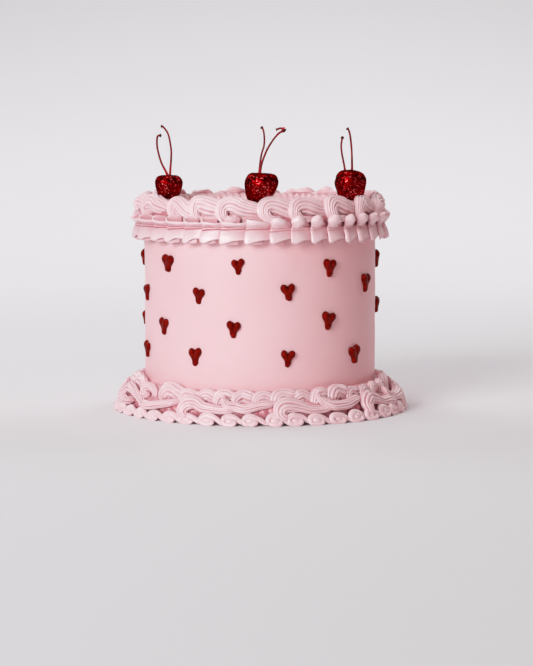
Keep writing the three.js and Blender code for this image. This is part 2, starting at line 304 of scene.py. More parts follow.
def unit(vectors):
    """Vectors brought to length one."""
    return vectors / np.linalg.norm(vectors, axis=-1, keepdims=True)


def rope(path, ridges, depth, fine=6, plain=8, crowd=1.0, fade=0.0):
    """Ropes of icing pressed through a star nozzle. path holds for each rope its steps as (right, up,
    out, half width, half thickness, turn). The section is an oval square to the way, and its points are
    spread evenly over the oval's edge, so many to a ridge and so many over the back, which is plain. So
    many ridges lie over the face and round the left edge, between grooves that are cut in along the
    oval's normal, and they wind on by the turn and sway a little. Ridges crowd towards the left edge by
    a power of the way over, the grooves fade by a share of it, and each is deeper and shallower along
    the way by a slow wave of its own. Returns the rings in (right, up, out), the two ends and, for each
    point, how deep a pink of painted shade it takes: in the grooves, on the underside, and where the
    rope starts in its curl."""
    centre = path[..., :3]
    wide, thick, turn = (path[..., i:i + 1] for i in (3, 4, 5))
    ahead = unit(np.gradient(centre, axis=-2))
    side = unit(np.cross(ahead, [0, 0, 1.0]))
    out = np.cross(side, ahead)
    first, last = -0.12 * np.pi, 1.4 * np.pi
    face = np.linspace(first, last, ridges * fine)
    back = np.linspace(last, first + 2 * np.pi, plain + 2)[1:-1]
    even = np.concatenate([face, back])
    on_face = np.concatenate([np.ones(len(face)), np.zeros(len(back))])
    angle = even + 0.5 * (wide - thick) / (wide + thick) * np.sin(2 * even)
    over = (even - first) / (last - first)
    part = np.linspace(0, 1, path.shape[-2])[:, None]
    phase = 2.4 * np.arange(len(path))[:, None, None]
    across = ridges * over ** crowd + turn / np.pi + 0.12 * np.sin(11 * part + 4 * over + phase)
    own = 0.7 + 0.3 * np.sin(2.6 * np.rint(across) + 9 * part + 2 * phase)
    groove = (1 - np.abs(np.sin(np.pi * across))) ** 1.3 * own * on_face * (1 - fade * over)
    lean = unit(np.stack([thick * np.cos(angle), wide * np.sin(angle)], -1))
    cut = depth * np.minimum(1, thick / 3)[..., None] * groove[..., None]
    oval = np.stack([wide * np.cos(angle), thick * np.sin(angle)], -1) - cut * lean
    rings = centre[..., None, :] + side[..., None, :] * oval[..., :1] + out[..., None, :] * oval[..., 1:]
    # Painted shade: the grooves, the underside and the start of the curl are marked for a deeper pink.
    under = np.clip(0.2 - np.sin(even), 0, 1)
    painted_shade = min(1, depth) * groove + 0.5 * np.exp(-(part / 0.09) ** 2) + 0.6 * under
    return rings, centre[..., 0, :], centre[..., -1, :], painted_shade


def laid(surface, ropes, *places):
    """Ropes laid over a surface, each at its own place there."""
    rings, start, end, groove = ropes
    spread = [place[:, None, None] for place in places]
    return surface(rings, *spread), surface(start, *places), surface(end, *places), groove


def on_wall(points, angle):
    """Points given as (right, height, out) laid on the wall of the cake."""
    right, height, out = np.moveaxis(points, -1, 0)
    return turned(CAKE_RADIUS + out, angle + np.degrees(right / CAKE_RADIUS), height)


def hearts():
    """Two ropes a heart. Each runs from the top of its blob down to the shared tail, and swells from
    nothing to the blob and sinks again to the blunt end. No two hearts have the same size, width, length
    and lean, and no two drops the same thickness."""
    draw = np.random.default_rng(8)
    middle = np.array(HEART_ROWS, float).reshape(-1, 1, 3)
    count = len(middle)
    drop = np.array([
        (-2.1, 4.2, 0.3, 0.3, 0.3, 0),
        (-2.15, 3.95, 0.4, 1.1, 1.0, 0),
        (-2.15, 3.4, 0.5, 1.8, 1.6, 0),
        (-2.1, 2.5, 0.6, 2.2, 2.0, 0),
        (-1.9, 1.5, 0.6, 2.25, 2.1, 0),
        (-1.2, 0.2, 0.5, 2.0, 1.9, 0),
        (-0.6, -1.3, 0.4, 1.75, 1.7, 0),
        (-0.4, -2.8, 0.3, 1.65, 1.6, 0),
        (-0.3, -4.1, 0.3, 1.6, 1.5, 0),
        (-0.3, -4.9, 0.2, 1.2, 1.1, 0),
        (-0.3, -5.3, 0.2, 0.3, 0.3, 0),
    ])
    mirrored = drop * [-1, 1, 1, 1, 1, 1]
    both = np.stack([drop, mirrored])[None].repeat(count, 0)
    both[..., :5] *= middle[..., None, 2:] * (1.06 + 0.08 * uneven(draw, count, 1, 1, 1))
    both[..., :1] *= 1 + 0.22 * uneven(draw, count, 2, 1, 1)
    both[..., 1:2] *= 1 + 0.12 * uneven(draw, count, 2, 1, 1)
    both[..., 1:2] += 0.5 * uneven(draw, count, 2, 1, 1)
    both[..., 3:5] *= 1 + 0.1 * uneven(draw, count, 2, 1, 1)
    lean = np.radians(11 * uneven(draw, count, 1, 1))
    right, up = both[..., 0].copy(), both[..., 1].copy()
    both[..., 0] = right * np.cos(lean) - up * np.sin(lean)
    both[..., 1] = right * np.sin(lean) + up * np.cos(lean) + middle[..., 1:2]
    path = curve_through(both.reshape(-1, len(drop), 6), 28)
    *points, _ = laid(on_wall, rope(path, 2, 0.0, fine=8, plain=4), middle[:, 0, 0].repeat(2))
    return points


def heart_finish():
    """Deep red icing, a little darker in patches, with a soft gloss and a fine grain."""
    finish = Finish("red icing", {
        "Specular IOR Level": 0.3,
        "Specular Tint": hex_colour("ff5038"),
        "Subsurface Weight": 0.05,
        "Subsurface Radius": (1.0, 0.2, 0.1),
        "Subsurface Scale": 0.001,
    })
    patch = finish.between(finish.noise(420, 2), 0.35, 0.65)
    finish.set(finish.shader, {
        "Base Color": finish.blend(patch, hex_colour("560402"), hex_colour("7e0d06")),
        "Roughness": 0.42 + 0.14 * finish.noise(300, 1),
        "Normal": finish.bump(finish.noise(700, 2), 0.5, 0.0006),
    })
    return finish.material


dress(piped_piece("piped_hearts", *hearts()), "cake_body", heart_finish())

# Ruffle under the top edge
# A thin ribbon of the same icing from a petal nozzle, held against the side and folded back on itself
# thirty-six times. Each pleat comes out of the last one, turns round in a bulge and runs on to the
# right, with a crease along its waist and a flared hem.

PLEATS = 36
WAIST_HEIGHT = 131.8
# Half the thickness of the ribbon at its hem and in its middle
HEM_HALF, SHEET_HALF = 0.1, 0.7
# The two creases: where they lie on the way down, and how wide and deep they are
CREASES = (0.6, 0.69)
CREASE_WIDTH, CREASE_DEPTH = 0.013, 0.62
FIRST_PLEAT_ANGLE = 4.9


def pleat_places():
    """Angle at which each pleat turns. They crowd towards the right of the cake, by a cosine and a sine
    of the way round, and the ones in view have their own small steps, given one by one."""
    draw = np.random.default_rng(6)
    even = 360 / PLEATS * np.arange(PLEATS)
    turn = np.radians(even)
    step = uneven(draw, PLEATS)
    step[:7] = [0, -0.3, -0.8, -1.6, -1.4, -2.1, -1.7]
    step[-7:] = [-1.0, 1.6, 0.7, 0.5, -1.0, -2.2, -1.0]
    return FIRST_PLEAT_ANGLE + even - 6.7 * (1 - np.cos(turn)) - 1.6 * np.sin(turn) + step


def ruffle():
    """Thin sheets, one a pleat. The middle of a sheet is a smooth surface through a net of stations
    along the ribbon by levels down it, from its top edge to its hem. Every station and level has the way
    along in parts of the pleat, the radius and the height. On the right half of the cake the upper four
    levels go over to those of a round ball, and on the left half the lower three come nearer to one
    radius each, which flattens the bulge. The two faces stand off that surface along its normal, close
    together at the edges, and two fine creases are pressed into the outer one at the waist. Above the
    waist the ribbon leans a little to the right, and below it to the left. Its colour carries painted
    shade: a deeper pink in the creases and where it lies further in."""
    draw = np.random.default_rng(7)
    way = np.array([0.72, 0.4, 0.1, 0.0, 0.11, 0.31, 0.6, 0.92, 1.16])
    # A row for each station: its radius at each level, and its height there
    radius, height = np.array([
        ((86.8, 87.0, 86.6, 86.0, 86.2, 87.0, 87.6), (139.3, 138.6, 136.6, 133.6, 131.3, 126.6, 121.4)),
        ((87.4, 87.6, 87.0, 86.4, 86.6, 87.8, 88.8), (139.5, 138.8, 136.8, 133.8, 131.4, 126.4, 121.0)),
        ((88.2, 88.4, 87.6, 86.8, 87.2, 88.8, 89.8), (139.5, 138.9, 137.0, 134.0, 131.5, 126.4, 121.6)),
        ((89.6, 89.8, 89.2, 87.8, 88.0, 89.8, 90.9), (138.5, 138.0, 136.4, 134.0, 131.7, 126.6, 122.5)),
        ((90.8, 90.9, 90.2, 88.0, 88.3, 90.3, 91.5), (136.6, 136.2, 135.2, 133.6, 131.7, 126.6, 121.9)),
        ((91.1, 91.2, 90.3, 87.8, 88.1, 90.0, 91.3), (135.9, 135.5, 134.8, 133.4, 131.5, 126.8, 122.6)),
        ((90.6, 90.7, 89.8, 87.4, 87.7, 89.2, 90.7), (135.7, 135.3, 134.6, 133.2, 131.4, 127.4, 124.2)),
        ((88.8, 89.0, 88.4, 87.0, 87.0, 88.0, 89.2), (135.9, 135.5, 134.7, 133.2, 131.3, 127.4, 124.6)),
        ((86.8, 87.0, 86.6, 86.0, 85.7, 86.4, 87.2), (136.9, 136.3, 135.2, 133.4, 131.3, 127.0, 124.2)),
    ]).swapaxes(0, 1)
    # The same for the upper four levels of the ball, after the way along
    ball_way, ball_radius, ball_height = np.array([
        ((0.72, 0.72, 0.72, 0.72), (85.2, 85.6, 85.8, 85.8), (137.0, 136.4, 135.4, 133.6)),
        ((0.44, 0.44, 0.44, 0.44), (85.6, 86.0, 86.2, 86.2), (137.4, 136.8, 135.8, 133.8)),
        ((0.22, 0.14, 0.09, 0.13), (86.2, 86.8, 87.2, 87.0), (138.2, 137.8, 136.4, 134.0)),
        ((0.1, 0.02, -0.04, 0.03), (87.2, 88.4, 89.2, 88.5), (138.8, 138.6, 136.8, 134.4)),
        ((0.16, 0.1, 0.06, 0.09), (87.8, 90.0, 90.9, 89.2), (139.8, 139.6, 137.2, 134.3)),
        ((0.3, 0.28, 0.27, 0.27), (88.2, 90.8, 91.9, 89.6), (140.4, 140.2, 137.4, 134.1)),
        ((0.42, 0.48, 0.5, 0.47), (87.4, 89.6, 90.8, 88.8), (139.6, 139.2, 136.8, 133.9)),
        ((0.5, 0.6, 0.64, 0.6), (86.2, 87.4, 88.2, 87.4), (138.0, 137.4, 135.8, 133.4)),
        ((0.9, 0.92, 0.94, 0.92), (85.0, 85.2, 85.4, 85.4), (135.0, 134.6, 134.0, 132.8)),
    ]).swapaxes(0, 1)
    start = pleat_places()
    ball = np.clip(2 * np.sin(np.radians(start + 6)) + 0.3, 0, 1)[:, None, None]
    along = np.broadcast_to(way[:, None], (PLEATS, *radius.shape)).copy()
    radius, height = (np.broadcast_to(part, along.shape).copy() for part in (radius, height))
    for whole, alternate in ((along, ball_way), (radius, ball_radius), (height, ball_height)):
        whole[..., :4] += ball * (alternate - whole[..., :4])
    left = np.clip(-1.5 * np.sin(np.radians(start + 4)), 0, 1)[:, None, None]
    radius[:, 2:8, 4:] += 0.4 * left * ([88.0, 89.4, 90.2] - radius[:, 2:8, 4:])
    net = np.stack([along, radius, height], -1)
    stations, levels = net.shape[1:3]
    net[..., 1:] += 0.22 * uneven(draw, PLEATS, stations, levels, 2)
    net[..., 0] += 0.02 * uneven(draw, PLEATS, stations, levels)
    net[..., -1, 2] += 0.5 * uneven(draw, PLEATS, stations)
    columns = 49
    net = curve_through(net.reshape(PLEATS, stations, -1), columns).reshape(PLEATS, columns, levels, 3)
    down = np.interp(np.linspace(0, 1, 60), [0, 0.4, 0.8, 1], [0, 0.55, 0.74, 1])
    net = curve_through(net, down)
    wide = np.diff(np.append(start, start[0] + 360))[:, None, None]
    angle = start[:, None, None] + wide * net[..., 0] + 0.05 * (net[..., 2] - WAIST_HEIGHT)
    middle = turned(net[..., 1], angle, net[..., 2])
    normal = unit(np.cross(np.gradient(middle, axis=1), np.gradient(middle, axis=2)))
    half = HEM_HALF + (SHEET_HALF - HEM_HALF) * np.sqrt(1 - np.abs(2 * down - 1) ** 6)
    line = 0.025 * uneven(draw, PLEATS, 1, 1) - 0.05 * (net[..., 0] - 0.4)
    crease = sum(np.exp(-((down - place - line) / CREASE_WIDTH) ** 2) for place in CREASES)
    crease *= 1 - 0.7 * ball
    inner = middle + normal * half[:, None]
    outer = middle - normal * (half - CREASE_DEPTH * crease)[..., None]
    rings = np.concatenate([inner, outer[..., ::-1, :]], 2)
    # Painted shade: a deeper pink where the ribbon lies further in, and in the creases.
    painted_shade = 0.75 * np.clip((90.5 - net[..., 1]) / 5, 0, 1)
    groove = np.concatenate([painted_shade, (painted_shade + 1.1 * crease)[..., ::-1]], 2)
    return rings, rings[:, 0].mean(1), rings[:, -1].mean(1), groove


def piped_finish():
    """Pale pink piped icing with slow blotches and a fine grain of air. The grooves between the ridges,
    undersides, curls, creases and the gaps behind a border go over to a deeper pink by an attribute of
    the pieces: painted shade."""
    finish = Finish("piped pink icing", {
        "Roughness": 0.34,
        "Specular IOR Level": 0.75,
        "Subsurface Weight": 0.15,
        "Subsurface Radius": (1.0, 0.5, 0.45),
        "Subsurface Scale": 0.001,
    })
    blotch = finish.between(finish.noise(30, 3), 0.3, 0.7)
    colour = finish.blend(blotch, hex_colour("f2c8ce"), hex_colour("f6d2d7"))
    groove = finish.node("ShaderNodeAttribute", {"attribute_name": "groove"}, {}, "Fac")
    # Painted shade: the colour goes over to a deeper pink where the attribute says.
    colour = finish.blend(groove * 0.9, colour, hex_colour("b84456"))
    finish.set(finish.shader, {
        "Base Color": colour,
        "Normal": finish.bump(finish.noise(700, 3) + finish.noise(260, 2), 0.4, 0.0005),
    })
    return finish.material


piped_icing = piped_finish()


def piped_set(name, node, parts, rings, start, end, groove):
    """Shares the ropes of a border out over some pieces of the same icing that stand for its solid."""
    for i, chosen in enumerate(np.array_split(np.arange(len(rings)), parts), 1):
        made = piped_piece(f"{name}_{i}", rings[chosen], start[chosen], end[chosen], groove=groove[chosen])
        dress(made, node, piped_icing)


piped_set("top_ruffle", "top_ruffle", 3, *ruffle())


def hoop(name, node, radius, height, half_out, half_up, ridge=0.0):
    """Line of the same icing round the cake that carries a border: a hoop of oval section that sways a
    little in and out, plain or with slanting ridges of some height. Its colour is a deeper pink of painted
    shade, deepest on its outer side, where it shows in the gaps of the border."""
    angle = np.linspace(0, 360, 720, endpoint=False)[:, None]
    section = np.linspace(0, 2 * np.pi, 40, endpoint=False)
    sway = 0.4 * np.sin(np.radians(7 * angle)) + 0.3 * np.sin(np.radians(11 * angle + 40))
    ridge = ridge * np.abs(np.sin(np.radians(42 * angle + 40 * np.sin(np.radians(9 * angle))) + section))
    out, up = (half_out + ridge) * np.cos(section) + sway, (half_up + ridge) * np.sin(section)
    # Painted shade: a deeper pink all over the hoop, deepest on its outer side.
    painted_shade = 0.55 + 0.3 * np.cos(section)
    made = piped_piece(name, turned(radius + out, angle, height + up)[None], groove=painted_shade)
    dress(made, node, piped_icing)


hoop("ruffle_line", "top_ruffle", 82.4, 135.0, 2.8, 9.0)

# Scrolls on the top edge
# Twenty-one fat scrolls of pink buttercream from a large star nozzle. Each starts in a curl, swings up
# over its head and runs down to the right, where the head of the next one covers its tail.

SCROLLS = 21
FIRST_SCROLL_ANGLE = 5.6
RIM_RADIUS, RIM_HEIGHT = 77.2, 141.0
RIM_OUT, RIM_UP = 5.5, 9.0
SCROLL_RADIUS = 86.0


def scroll_places():
    """Angle of the curl of every scroll. They stand evenly, and each one in view has its own small step
    from its even place, given one by one, while the rest have a drawn one."""
    draw = np.random.default_rng(3)
    even = FIRST_SCROLL_ANGLE + 360 / SCROLLS * np.arange(SCROLLS)
    step = 1.2 * uneven(draw, SCROLLS)
    step[[0, 1, 2, 3, 17, 18, 19, 20]] = [1.5, -1.4, -0.3, 0.2, -0.2, 4.2, 0.7, -0.7]
    return even + step


def over_oval(slope, out, half_out, half_up):
    """How far out from the middle of an oval and how far up a point lies that stands at a slope round
    the oval and off it along its normal."""
    normal = np.stack([half_up * np.cos(slope), half_out * np.sin(slope)])
    normal /= np.linalg.norm(normal, axis=0)
    return half_out * np.cos(slope) + out * normal[0], half_up * np.sin(slope) + out * normal[1]


def on_rim(points, angle):
    """Points given as (right, up, out) laid over the rim. Below the middle of the curls they hang
    straight down, and above it they follow a quarter of an oval up and in over the top."""
    right, up, out = np.moveaxis(points, -1, 0)
    aside, above = over_oval(np.maximum(up, 0) / RIM_UP, out, RIM_OUT, RIM_UP)
    height = RIM_HEIGHT + above + np.minimum(up, 0)
    return turned(RIM_RADIUS + aside, angle + np.degrees(right / SCROLL_RADIUS), height)


def scrolls():
    """One rope a scroll, on the hoop. Its steps start in the curl, go left, up over the head and away to
    the right, and the rope is widest where it comes down from the head. The scrolls behind are less
    even than the ones in view, and lumpy along the way. Of those in view, some have steps given one by
    one: three at the right lean over by a share of their height, two of them lie lower, and at the left
    one tail sinks, one curl is lifted and drawn in, and two scrolls start in a smaller, higher curl."""
    draw = np.random.default_rng(4)
    steps = np.array([
        (4.6, -1.4, 2.6, 0.5, 0.5, 0),
        (3.0, -2.4, 3.6, 1.8, 1.8, 0),
        (-0.2, -3.3, 4.2, 2.5, 2.5, 0),
        (-4.4, -2.6, 4.0, 3.4, 2.9, 0.1),
        (-7.4, 0.4, 3.2, 4.8, 3.3, 0.2),
        (-7.2, 4.2, 2.4, 5.9, 3.8, 0.3),
        (-3.9, 6.6, 1.8, 6.4, 4.0, 0.4),
        (0.8, 7.0, 1.4, 6.8, 4.0, 0.5),
        (5.6, 5.8, 1.0, 7.0, 3.9, 0.6),
        (10.0, 4.8, 0.3, 6.9, 3.6, 0.7),
        (14.4, 4.0, -0.4, 6.3, 3.2, 0.8),
        (18.6, 3.0, -1.4, 5.2, 2.6, 0.9),
        (22.6, 2.2, -2.4, 3.4, 1.9, 1.0),
        (25.6, 1.8, -3.2, 1.2, 1.0, 1.1),
    ])
    each = steps[None].repeat(SCROLLS, 0)
    in_view = np.abs(np.arange(SCROLLS) - 10) > 6
    stray = np.where(in_view, 0.25, 0.95)[:, None, None]
    each[..., :5] += stray * uneven(draw, SCROLLS, len(steps), 5)
    each[..., 3:5] = np.maximum(each[..., 3:5], 0.4)
    each[3:6, :, 0] += np.array([[0.8], [1.5], [1.8]]) * each[3:6, :, 1]
    each[3, 7:, 1] -= 1.6
    each[4, 3:8, 1] -= 1.8
    each[18, 6:, 1] -= [0.2, 1.0, 2.4, 4.0, 5.2, 5.4, 5.0, 4.4]
    each[17, :5, 1:3] += np.array([(3.0, -1.0), (3.0, -1.4), (2.8, -1.6), (1.6, -1.0), (0.6, -0.4)])
    each[18:20, :6, :5] = [
        (4.6, -2.0, 1.8, 0.5, 0.5),
        (2.8, -2.6, 2.2, 1.2, 1.1),
        (0.0, -2.6, 2.8, 1.7, 1.5),
        (-2.8, -1.2, 3.2, 2.8, 2.2),
        (-4.8, 1.6, 3.0, 4.2, 3.0),
        (-5.2, 4.8, 2.4, 5.4, 3.6),
    ]
    each[..., 0] *= 1 + 0.06 * uneven(draw, SCROLLS, 1)
    each[..., 1] *= 1 + 0.07 * uneven(draw, SCROLLS, 1)
    each[..., 3:5] *= 1 + 0.05 * uneven(draw, SCROLLS, 1, 1)
    way = np.linspace(0, 1, 76)
    path = curve_through(each, way)
    lump = np.sin(34 * way + 2 * np.arange(SCROLLS)[:, None])
    path[..., 4] *= 1 + np.where(in_view, 0.02, 0.34)[:, None] * lump
    return laid(on_rim, rope(path, 12, 1.6, fine=7, crowd=1.35, fade=0.7), scroll_places())


piped_set("top_scrolls", "top_shells", 2, *scrolls())
hoop("scroll_line", "top_shells", 77.4, 143.4, 4.2, 5.2, 1.6)

# Cherries
# Six cocktail cherries rolled in red edible glitter stand on the scrolls, evenly round the edge, each
# pressed into the icing. Their dyed stems are long, bent by hand, and end in a knob.

# For each, its place and size: angle, distance from the axis, width, height of its bottom above the base,
# and height of the fruit. Then its shape: how full the lower half and the shoulders are, how far the tip
# hangs to the left, how many degrees it leans to the right and how deep its dimple is. Then the stem, as
# points to the right of the middle of the fruit and up from the base of the cake.
CHERRIES = {
    "cherry_front": ((1, 73.4, 23.2, 146, 23), (0.1, 0.1, 3.6, 3, 0.12), [
        (-1.2, 168), (-0.2, 175), (2.8, 183.2), (6.6, 190), (11.2, 195.6), (16.6, 198.8)]),
    "cherry_front_right": ((58.4, 73.4, 21.4, 146.0, 24.0), (1.1, -0.3, -1.5, 5, -0.03), [
        (1.2, 168.5), (1.0, 181.6), (0.2, 190.9), (-0.9, 196.8), (-2.6, 199.2)]),
    "cherry_back_right": ((119.4, 72.6, 17.6, 146.4, 17.6), (0.4, 0, 0, -6, 0.12), [
        (-0.8, 163), (-2.4, 172.5), (-3.8, 179.5), (-4.4, 185.5), (-4.0, 189), (-3.3, 192.6)]),
    "cherry_back": ((180.6, 73.4, 18, 146, 17.6), (0.3, 0, 1, 4, 0.12), [
        (0, 163), (1.5, 176.6), (3.6, 184.3), (4, 190.2), (3.2, 196.4), (1.4, 199.0)]),
    "cherry_back_left": ((-119.6, 74.6, 17.4, 146.2, 17.4), (0.4, 0, -1, 5, 0.12), [
        (-0.6, 163), (0.4, 177.4), (0.3, 183.6), (-1.6, 193.4), (-5.0, 198.8), (-7.2, 199.6)]),
    "cherry_front_left": ((-60, 73.4, 19.2, 148.6, 17.9), (0.6, 0, 0, 0, 0.1), [
        (-0.8, 167), (-4.9, 175.4), (-7.4, 184.5), (-7.8, 190.6), (-7.0, 193.6), (-4.4, 193.8)]),
}


# Where a fruit is widest, and the middle that it leans about, in parts of its height
WIDEST, MIDDLE = 0.71, 0.6


def fruit(place, shape, seed):
    """Surface of revolution whose outline is a smooth curve through the points of half a cherry, from
    its blunt tip out to the widest point, round the shoulder and in to the dimple. A fuller half has its
    radii raised to a lower power. The radius swells and sinks by a few parts in a hundred in slow waves,
    the tip is pulled aside by the square of the way down, and the whole is turned about its middle."""
    angle, ring, width, bottom, height = place
    low, high, tip, lean, dimple = shape
    draw = np.random.default_rng(seed)
    outline = curve_through([
        (0.0, 0.0), (0.22, 0.02), (0.5, 0.14), (0.8, 0.37), (0.97, 0.6), (1.0, WIDEST), (0.97, 0.82),
        (0.8, 0.95), (0.5, 1.0), (0.22, 1 - 0.5 * dimple), (0.0, 1 - dimple)], 72)
    full = 1 + np.where(outline[:, 1:] < WIDEST, low, high)
    across, rise = np.clip(outline[:, :1], 0, 1) ** (1 / full) * width / 2, outline[:, 1:] * height
    turn = np.linspace(0, 2 * np.pi, 96, endpoint=False)
    phase = draw.uniform(0, 2 * np.pi, 3)
    wave = 0.02 * np.sin(2 * turn + phase[0]) + 0.014 * np.sin(3 * turn + phase[1] + rise / 6)
    across = across * (1 + wave + 0.008 * np.sin(5 * turn + phase[2] - rise / 4))
    x = across * np.cos(turn) - tip * (1 - rise / height) ** 2
    z = rise - MIDDLE * height + 0 * turn
    lean = math.radians(lean)
    x, z = x * math.cos(lean) + z * math.sin(lean), z * math.cos(lean) - x * math.sin(lean)
    rings = np.stack([x, across * np.sin(turn), z], -1)[None]
    rings = rings + turned(ring, angle, bottom + MIDDLE * height)
    return rings[:, 1:-1], rings[:, 0, 0], rings[:, -1, 0]


def stem(angle, ring, points):
    """Round rope through points beside a place on the ring, thicker at its root and swollen at its end.
    Also returns how far along the stem each step of it lies."""
    part = np.linspace(0, 1, 60)
    way = curve_through(points, part)
    thick = 0.7 + 0.5 * np.exp(-(part / 0.2) ** 2) + 0.85 * np.exp(-((part - 0.95) / 0.036) ** 2)
    thick *= np.sqrt(np.clip((1 - part) / 0.06, 0.02, 1))
    path = np.stack([way[:, 0], way[:, 1], 0 * part, thick, thick, 0 * part], -1)[None]
    *points, _ = rope(path, 2, 0.0, plain=4)
    return *(turned(ring, angle, 0.0) + p[..., [0, 2, 1]] * [1, -1, 1] for p in points), part[:, None]


def cherry_finish():
    """Dark red glitter. The surface is shared out into tiny metal flakes, each leaning its own way, so
    that those that face the light flash, and every flake has its own red."""
    finish = Finish("glittered cherry", {
        "Roughness": 0.3,
        "Metallic": 1.0,
        "Specular Tint": hex_colour("8c080a"),
    })
    cell = {"Vector": finish.place, "Scale": 1500.0, "Randomness": 1.0}
    flake = finish.node("ShaderNodeTexVoronoi", {}, cell, "Color")
    straight = finish.node("ShaderNodeNewGeometry", {}, {}, "Normal")
    tilt, middle = flake, (0.5, 0.5, 0.5)
    moves = {"SUBTRACT": {1: middle}, "SCALE": {"Scale": 0.3}, "ADD": {1: straight}, "NORMALIZE": {}}
    for operation, values in moves.items():
        tilt = finish.node("ShaderNodeVectorMath", {"operation": operation}, {0: tilt, **values})
    red = finish.node("ShaderNodeSeparateColor", {}, {0: flake}, 0)
    pale = finish.between(finish.node("ShaderNodeSeparateColor", {}, {0: flake}, 1), 0.9, 0.95)
    colour = finish.blend(finish.between(red, 0.4, 0.95), hex_colour("4e0001"), hex_colour("a00506"))
    finish.set(finish.shader, {
        "Base Color": finish.blend(pale, colour, hex_colour("ff6468")),
        "Normal": tilt,
    })
    return finish.material


def stem_finish():
    """Dyed stem, bright red at its root, darker above and darkest at its end, with a soft gloss."""
    finish = Finish("dyed stem", {"Roughness": 0.45, "Specular IOR Level": 0.15})
    along = finish.node("ShaderNodeAttribute", {"attribute_name": "along"}, {}, "Fac")
    patch = finish.between(finish.noise(180, 2), 0.35, 0.7)
    colour = finish.blend(patch, hex_colour("62040a"), hex_colour("8e0a12"))
    colour = finish.blend(finish.between(along, 0.3, 0.12), colour, hex_colour("c40c1c"))
    finish.set(finish.shader, {
        "Base Color": finish.blend(finish.between(along, 0.9, 0.94), colour, hex_colour("3c0204")),
        "Normal": finish.bump(finish.noise(600, 2), 0.2, 0.0003),
    })
    return finish.material


cherry_red, stem_red = cherry_finish(), stem_finish()
for seed, (node, (place, shape, points)) in enumerate(CHERRIES.items()):
    angle, ring, _, bottom, height = place
    flesh = piped_piece(f"{node}_fruit", *fruit(place, shape, seed))
    *rings, along = stem(angle, ring, [(0.5 * points[0][0], bottom + 0.8 * height), *points])
    stalks = [piped_piece(f"{node}_stem", *rings, along=along)]
    if node == "cherry_front":  # a second stem broke off close to where the two had joined
        *rings, along = stem(angle, ring, [(15.4, 198.9), (12.4, 199.2), (9.4, 198.2)])
        stalks.append(piped_piece(f"{node}_twig", *rings, along=along))
    for made in (flesh, *stalks):
        dress(made, node, cherry_red if made is flesh else stem_red)

# Scrolls at the foot
# Forty-one smaller scrolls from a finer star nozzle stand against the foot of the wall, piped the same
# way as the ones on the top edge.

FOOT_SCROLLS = 41
FIRST_FOOT_SCROLL_ANGLE = 1.3
FOOT_RADIUS, FOOT_HEIGHT = 82.8, 12.4
FOOT_OUT, FOOT_UP = 5.5, 10.0
FOOT_SCROLL_RADIUS = 89.0
# How far up a rope lies when it is one radian round the hoop's section
UP_PER_RADIAN = 9.5


def on_foot(points, angle, lift):
    """Points given as (right, up, out) laid over a hoop of oval section in the corner at the foot."""
    right, up, out = np.moveaxis(points, -1, 0)
    aside, above = over_oval(up / UP_PER_RADIAN, out, FOOT_OUT, FOOT_UP)
    turn = np.degrees(right / FOOT_SCROLL_RADIUS)
    return turned(FOOT_RADIUS + aside, angle + turn, FOOT_HEIGHT + lift + above)


def foot_scrolls():
    """One rope a scroll, on the hoop. They stand a little higher round the sides than in front. At the
    left, in view, four have their own sizes and some stand wider apart, and closer behind. One
    of the four is a rosette, a curl of nearly two turns that faces the front."""
    draw = np.random.default_rng(12)
    steps = np.array([
        (1.0, -0.8, 2.2, 0.4, 0.4, 0),
        (-0.4, -1.8, 2.4, 1.6, 1.5, 0),
        (-2.6, -1.6, 2.2, 2.8, 2.2, 0.1),
        (-4.0, 0.4, 2.0, 3.9, 2.7, 0.2),
        (-3.6, 3.4, 1.6, 4.8, 3.0, 0.3),
        (-1.2, 5.6, 1.2, 5.4, 3.2, 0.4),
        (2.2, 5.8, 0.8, 5.6, 3.2, 0.5),
        (5.8, 4.8, 0.4, 5.4, 3.0, 0.6),
        (9.4, 3.4, -0.2, 4.6, 2.6, 0.7),
        (13.0, 1.8, -1.4, 2.6, 1.6, 0.8),
    ])
    rosette = np.array([
        (3.4, 1.8, 6.2, 0.6, 0.6, 0),
        (2.8, 0.4, 6.4, 2.2, 2.0, 0),
        (-0.2, -0.6, 6.0, 2.6, 2.0, 0.2),
        (-3.6, 0.6, 4.7, 2.9, 1.9, 0.4),
        (-2.4, 3.6, 4.0, 2.7, 2.0, 0.6),
        (2.6, 4.2, 4.0, 2.6, 2.1, 0.8),
        (6.2, 1.4, 3.9, 3.0, 2.2, 1.0),
        (4.0, -2.6, 3.2, 2.8, 1.9, 1.2),
        (-2.8, -3.8, 1.6, 2.4, 1.6, 1.4),
        (-7.4, -1.2, 0.2, 1.2, 1.0, 1.6),
    ])
    each = steps[None].repeat(FOOT_SCROLLS, 0)
    each[..., :5] += 0.4 * uneven(draw, FOOT_SCROLLS, len(steps), 5)
    size = 1 + 0.17 * uneven(draw, FOOT_SCROLLS, 1, 1)
    size[33:37, 0, 0] = [1.2, 1.1, 1.0, 1.15]
    rosette[:, 0] *= 0.85
    rosette[:, 1] += 1.2
    rosette[:, 2] -= 0.5 * rosette[:, 0]
    each[35] = rosette
    each[..., :2] *= size
    each[..., 3:5] = np.maximum(each[..., 3:5], 0.3) * size
    angle = FIRST_FOOT_SCROLL_ANGLE + 360 / FOOT_SCROLLS * np.arange(FOOT_SCROLLS)
    angle[28:37] -= [1.0, 3.0, 5.0, 7.5, 9.3, 11.0, 13.6, 6.8, 2.0]
    angle += 0.6 * uneven(draw, FOOT_SCROLLS)
    lift = 1.6 * np.clip(1 - np.cos(np.radians(angle)), 0, 1) + 0.4 * uneven(draw, FOOT_SCROLLS)
    ropes = rope(curve_through(each, 48), 8, 1.6, fine=7, crowd=1.2, fade=0.75)
    return laid(on_foot, ropes, angle, lift)


